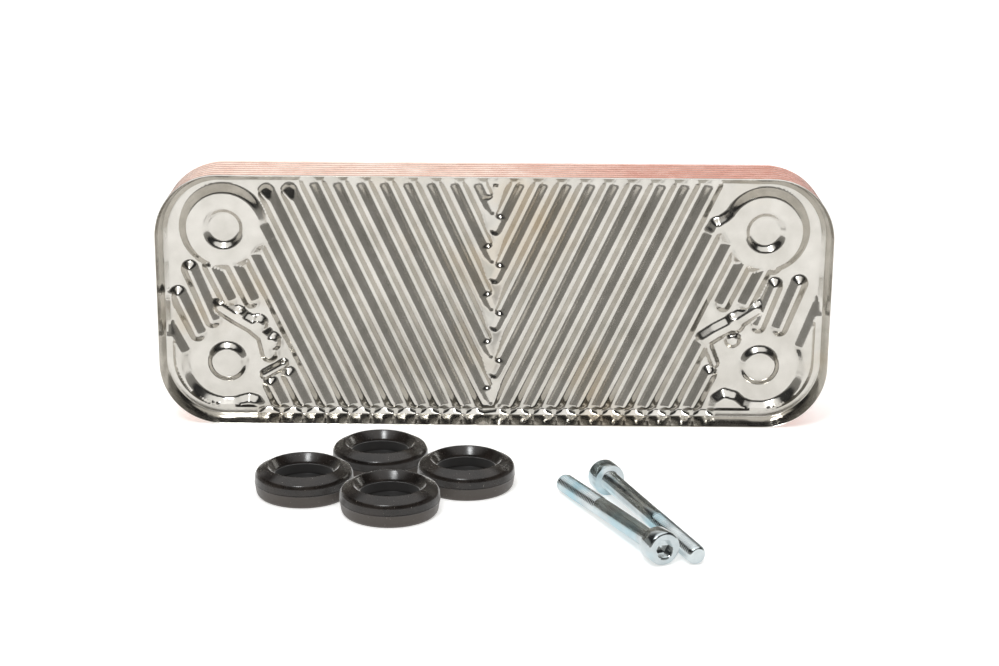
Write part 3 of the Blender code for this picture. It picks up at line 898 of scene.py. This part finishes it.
def flat_plate(node_name, mat):
    """The reinforcing plate: a flat sheet with rounded edges and a hole at each port."""
    low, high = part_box(node_name)
    thickness = (high.y - low.y) / MM
    edge, bend = 0.25, 0.18
    inset = HALF_LENGTH - high.x / MM + edge
    points, faces, rim, count, (out_u, out_v) = grid_sheet(
        flat_level, low.y / MM, 0.0, thickness, BACK_CELL, inset, port_holes
    )
    base = points[rim]
    rows, start, size, previous = [points], len(points), len(rim), rim
    rings = ((0.15, 0.03), (edge, bend), (edge, thickness - bend), (0.15, thickness - 0.03))
    for shift, depth in rings:
        rows.append(base + np.stack([out_u * shift, np.full(size, depth), out_v * shift], axis=1))
        current = np.arange(start, start + size)
        faces += faces_between(previous, current)
        previous = current
        start += size
    faces += faces_between(previous, rim + count)
    return add_piece(
        "reinforcing_plate_sheet", np.concatenate(rows), faces, mat, "exchanger",
        [node_name], sharp=35,
    )


flat_plate("reinforcing_plate", back_steel)

TO_BACK = Matrix.Rotation(-math.pi / 2, 4, "X")
COLLAR_STEPS = 96
BOSS_FILLET_STEPS = 72


def braze_fillet(name, radius, spread, waist, rise, steps, matrix):
    """Copper drawn up round the foot of a turned part of this radius."""
    foot = rounded(
        [
            (radius - 0.1, -0.14),
            (radius + spread, -0.14),
            (radius + waist, 0.25),
            (radius - 0.02, rise),
            (radius - 0.1, rise),
        ],
        0.15,
    )
    points = placed(turned_points(foot, steps), matrix)
    faces = ring_faces(len(foot), steps, closed=True)
    add_piece(name, points, faces, copper, "exchanger", sharp=60)


def port_collar(name, x, z):
    """The turned ring round a port, with a shallow recess in its seat."""
    source = f"port_collar_{name}"
    low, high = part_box(source)
    outer = (high.x - low.x) / 2 / MM
    top = (high.y - low.y) / MM
    profile = rounded(
        [
            (PORT_RADIUS, 0.0),
            (outer, 0.0),
            (outer, top - 0.5),
            (outer - 0.5, top),
            (PORT_RADIUS + 1.6, top),
            (PORT_RADIUS + 1.45, top - 0.12),
            (PORT_RADIUS + 0.5, top - 0.12),
            (PORT_RADIUS, top - 0.6),
        ],
        0.12,
    )
    matrix = Matrix.Translation((x, low.y / MM, z)) @ TO_BACK
    points = placed(turned_points(profile, COLLAR_STEPS), matrix)
    faces = ring_faces(len(profile), COLLAR_STEPS, closed=True)
    add_piece(
        f"{source}_ring", points, faces, turned_steel, "exchanger", [source],
        sharp=35,
    )
    braze_fillet(f"port_fillet_{name}", outer, 0.9, 0.25, 0.9, COLLAR_STEPS, matrix)


for name, (x, z) in PORTS.items():
    port_collar(name, x, z)


def thread_wave(height, angles, pitch, first, last):
    """Depth of a 60 degree thread from 0, its crest, to 1, its root, fading in at both ends."""
    turn = (height / pitch - angles / (2 * math.pi)) % 1.0
    tooth = np.clip(np.abs(turn - 0.5) * 2 * 1.25 - 0.1, 0, 1)
    fade = np.clip((height - first) / pitch, 0, 1) * np.clip((last - height) / pitch, 0, 1)
    return tooth * fade


THREAD_PITCH = 0.8
THREAD_STEPS = 48
ROWS_PER_TURN = 8
BOSS_HOLE_FOOT = 1.0
BOSS_CREST_RADIUS = 2.12
BOSS_THREAD_DEPTH = 0.38


def screw_boss(side):
    """A bush with a blind threaded hole."""
    source = f"screw_boss_{side}"
    low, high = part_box(source)
    radius = (high.x - low.x) / 2 / MM
    top = (high.y - low.y) / MM
    angles = full_turn(THREAD_STEPS)
    rows = [
        (radius - 0.15, 0.0),
        (radius, 0.15),
        (radius, top - 0.5),
        (radius - 0.12, top - 0.2),
        (radius - 0.5, top),
        (2.75, top),
        (2.5, top - 0.2),
    ]
    thread_top = top - 0.4
    length = thread_top - BOSS_HOLE_FOOT
    count = int(length / THREAD_PITCH * ROWS_PER_TURN)
    for i in range(count + 1):
        h = thread_top - (length - 0.5) * i / count
        depth = thread_wave(h, angles, THREAD_PITCH, BOSS_HOLE_FOOT + 0.6, top + 0.4)
        rows.append((BOSS_CREST_RADIUS + BOSS_THREAD_DEPTH * depth, h))
    rows += [(2.1, BOSS_HOLE_FOOT + 0.3), (0.02, BOSS_HOLE_FOOT)]
    x = (low.x + high.x) / 2 / MM
    z = (low.z + high.z) / 2 / MM
    matrix = Matrix.Translation((x, low.y / MM, z)) @ TO_BACK
    points = placed(np.concatenate([turned_row(r, h, angles) for r, h in rows]), matrix)
    add_piece(
        f"{source}_bush", points, capped_faces(len(rows), THREAD_STEPS), turned_steel,
        "exchanger", [source], sharp=35,
    )
    braze_fillet(f"boss_fillet_{side}", radius, 0.8, 0.2, 0.8, BOSS_FILLET_STEPS, matrix)


screw_boss("left")
screw_boss("right")

# ---------------------------------------------------------------- ring seals

SEAL_STEPS = 144
# Faces inside this radius and below this height get the painted-shade material.
BORE_SHADE_RADIUS = 8.7
BORE_SHADE_TOP = 5.3
SEAL_PROFILE = rounded(
    [
        (7.4, 0.9),
        (8.4, 0.08),
        (9.2, 0.0),
        (12.0, 0.0),
        (12.55, 0.75),
        (12.93, 3.3),
        (13.04, 3.5),
        (12.96, 3.7),
        (12.85, 5.45),
        (12.35, 6.35),
        (9.9, 7.64),
        (9.5, 7.72),
        (7.8, 5.5),
        (7.7, 5.1),
        (8.6, 4.7),
        (8.6, 2.1),
        (7.4, 1.3),
    ],
    0.3,
)


def ring_seal(name):
    """A moulded ring, whose inside has a near-black material of its own, painted shade for the bore."""
    source = f"ring_seal_{name}"
    low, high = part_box(source)
    x, y = (low.x + high.x) / 2 / MM, (low.y + high.y) / 2 / MM
    points = turned_points(SEAL_PROFILE, SEAL_STEPS) + (x, y, 0.0)
    faces = ring_faces(len(SEAL_PROFILE), SEAL_STEPS, closed=True)
    seal = add_piece(
        f"{source}_rubber", points, faces, rubber, source, [source], sharp=50
    )
    # Faces inside the bore get the painted-shade material.
    seal.data.materials.append(bore_rubber_painted_shade)
    for face in seal.data.polygons:
        centre = face.center / MM
        if math.hypot(centre.x - x, centre.y - y) < BORE_SHADE_RADIUS and centre.z < BORE_SHADE_TOP:
            face.material_index = 1
    # The cover plate's reflections leave the loose parts out.
    seal.visible_glossy = False


for name in ("front", "left", "right", "back"):
    ring_seal(name)

# ---------------------------------------------------------------- socket screws

SCREW_STEPS = 48
SHAFT_RADIUS = 2.5
SHAFT_LENGTH = 50.0
HEAD_RADIUS = 4.25
HEAD_HEIGHT = 5.0
SOCKET_FLATS = 4.0
SOCKET_DEPTH = 2.6
THREAD_LENGTH = 22.0
THREAD_DEPTH = 0.16
# The middle of each head's outer face on the floor, and the heading of the shaft in degrees.
SCREW_PLACES = {
    "socket_screw_front": ((41.6, -110.0), 114.6),
    "socket_screw_back": ((28.9, -58.6), -67.8),
}


def hexagon(flats, angles):
    from_flat = (angles + math.pi / 6) % (math.pi / 3) - math.pi / 6
    return flats / 2 / np.cos(from_flat)


def socket_screw(name):
    """A cap screw lying on its head's rim and its tip, threaded along its last stretch."""
    (x, y), heading = SCREW_PLACES[name]
    angles = full_turn(SCREW_STEPS)
    end = HEAD_HEIGHT + SHAFT_LENGTH
    socket = hexagon(SOCKET_FLATS, angles)
    rows = [
        (0.02, SOCKET_DEPTH + 0.5),
        (hexagon(SOCKET_FLATS - 0.3, angles), SOCKET_DEPTH),
        (socket, SOCKET_DEPTH - 0.2),
        (socket, 0.42),
        (np.maximum(socket, 2.2), 0.2),
        (2.45, 0.0),
        (HEAD_RADIUS - 0.62, 0.0),
        (HEAD_RADIUS - 0.4, 0.06),
        (HEAD_RADIUS - 0.1, 0.3),
        (HEAD_RADIUS, 0.6),
        (HEAD_RADIUS, HEAD_HEIGHT - 0.25),
        (HEAD_RADIUS - 0.06, HEAD_HEIGHT - 0.06),
        (HEAD_RADIUS - 0.25, HEAD_HEIGHT),
        (SHAFT_RADIUS + 0.3, HEAD_HEIGHT),
        (SHAFT_RADIUS + 0.08, HEAD_HEIGHT + 0.1),
        (SHAFT_RADIUS, HEAD_HEIGHT + 0.4),
        (SHAFT_RADIUS, end - THREAD_LENGTH - 6),
    ]
    count = int(THREAD_LENGTH / THREAD_PITCH * ROWS_PER_TURN)
    for i in range(count + 1):
        h = end - THREAD_LENGTH + (THREAD_LENGTH - 0.9) * i / count
        depth = thread_wave(h, angles, THREAD_PITCH, end - THREAD_LENGTH, end)
        rows.append((SHAFT_RADIUS - THREAD_DEPTH * depth, h))
    rows += [
        (SHAFT_RADIUS - 0.25, end - 0.45),
        (SHAFT_RADIUS - 0.55, end - 0.05),
        (SHAFT_RADIUS - 0.7, end),
        (0.02, end),
    ]
    dip = math.atan((HEAD_RADIUS - SHAFT_RADIUS) / (SHAFT_LENGTH - 0.6))
    lift = HEAD_RADIUS * math.cos(dip) + HEAD_HEIGHT * math.sin(dip)
    level = Matrix.Rotation(math.pi / 2 + dip, 4, "Y")
    turn = Matrix.Rotation(math.radians(heading), 4, "Z") @ level
    matrix = Matrix.Translation((x, y, lift)) @ turn
    points = placed(np.concatenate([turned_row(r, h, angles) for r, h in rows]), matrix)
    screw = add_piece(
        f"{name}_steel", points, capped_faces(len(rows), SCREW_STEPS), zinc, name,
        [name], sharp=40,
    )
    screw.visible_glossy = False


for name in SCREW_PLACES:
    socket_screw(name)

# ---------------------------------------------------------------- floor, light and camera


def floor_material():
    """A plain white table top."""
    mat, tree, shader = new_material("white_table")
    shader.inputs["Base Color"].default_value = (0.9, 0.9, 0.9, 1.0)
    shader.inputs["Roughness"].default_value = 0.8
    shader.inputs["Emission Color"].default_value = (1.0, 0.99, 0.97, 1.0)
    shader.inputs["Emission Strength"].default_value = 0.50
    return mat


FLOOR_HALF = 30.0


def add_floor():
    mesh = bpy.data.meshes.new("floor")
    signs = ((-1, -1), (1, -1), (1, 1), (-1, 1))
    corners = [(x * FLOOR_HALF, y * FLOOR_HALF, 0) for x, y in signs]
    mesh.from_pydata(corners, [], [(0, 1, 2, 3)])
    mesh.materials.append(floor_material())
    obj = bpy.data.objects.new("floor", mesh)
    bpy.context.scene.collection.objects.link(obj)


# The studio's brightness from straight down, 0, over the horizon, 0.5, to straight up, 1.
STUDIO_STOPS = (
    (0.0, (0.9, 0.9, 0.9)),
    (0.5, (0.36, 0.355, 0.34)),
    (0.66, (0.28, 0.275, 0.26)),
    (0.69, (0.03, 0.03, 0.031)),
    (0.855, (0.04, 0.04, 0.04)),
    (0.885, (1.15, 1.15, 1.14)),
    (1.0, (1.4, 1.4, 1.4)),
)
BACKDROP = (1.3, 1.28, 1.25)
BACKDROP_FROM, BACKDROP_TO = 0.6, 0.9


def add_world():
    """A studio: white overhead, dark above the set, grey walls and a white backdrop behind."""
    world = bpy.data.worlds.new("studio")
    bpy.context.scene.world = world
    world.use_nodes = True
    tree = world.node_tree
    place = node(tree, "ShaderNodeTexCoord").outputs["Generated"]
    heading = node(tree, "ShaderNodeSeparateXYZ", {"Vector": place})
    share = value_range(tree, heading.outputs["Z"], 0.0, 1.0, -1.0, 1.0)
    color = ramp(tree, share, STUDIO_STOPS)
    behind = value_range(tree, heading.outputs["Y"], 0.0, 1.0, BACKDROP_FROM, BACKDROP_TO)
    color = mix_color(tree, behind, color, BACKDROP)
    background = tree.nodes["Background"]
    tree.links.new(color, background.inputs["Color"])
    background.inputs["Strength"].default_value = 1.0


def add_area(name, place, target, size, power, color=(1, 1, 1)):
    light = bpy.data.lights.new(name, "AREA")
    light.shape = "RECTANGLE"
    light.size, light.size_y = size
    light.energy = power
    light.color = color
    obj = bpy.data.objects.new(name, light)
    bpy.context.scene.collection.objects.link(obj)
    obj.location = place
    direction = Vector(target) - Vector(place)
    obj.rotation_euler = direction.to_track_quat("-Z", "Y").to_euler()

CAMERA_PLACE = (-0.0006, -0.5734, 0.1980)
CAMERA_PITCH = math.radians(16.742)
CAMERA_YAW = math.radians(0.224)
CAMERA_ROLL = math.radians(0.503)
CAMERA_LENS = 74.63


def add_camera():
    level = math.cos(CAMERA_PITCH)
    forward = Vector(
        (math.sin(CAMERA_YAW) * level, math.cos(CAMERA_YAW) * level, -math.sin(CAMERA_PITCH))
    )
    right = forward.cross(Vector((0, 0, 1))).normalized()
    up = right.cross(forward)
    turned_right = right * math.cos(CAMERA_ROLL) + up * math.sin(CAMERA_ROLL)
    turned_up = up * math.cos(CAMERA_ROLL) - right * math.sin(CAMERA_ROLL)
    data = bpy.data.cameras.new("camera")
    data.sensor_width = 36.0
    data.lens = CAMERA_LENS
    data.clip_start, data.clip_end = 0.01, 20.0
    obj = bpy.data.objects.new("camera", data)
    bpy.context.scene.collection.objects.link(obj)
    rotation = Matrix((turned_right, turned_up, -forward)).transposed().to_4x4()
    obj.matrix_world = Matrix.Translation(CAMERA_PLACE) @ rotation
    bpy.context.scene.camera = obj


add_floor()
add_world()
add_area(
    "window", place=(-0.30, -1.00, 1.45), target=(0.0, -0.09, 0.01), size=(0.30, 0.34),
    power=8.0, color=(0.97, 0.99, 1.0),
)
add_camera()
view = bpy.context.scene.view_settings
view.view_transform = "Standard"
view.look = "None"
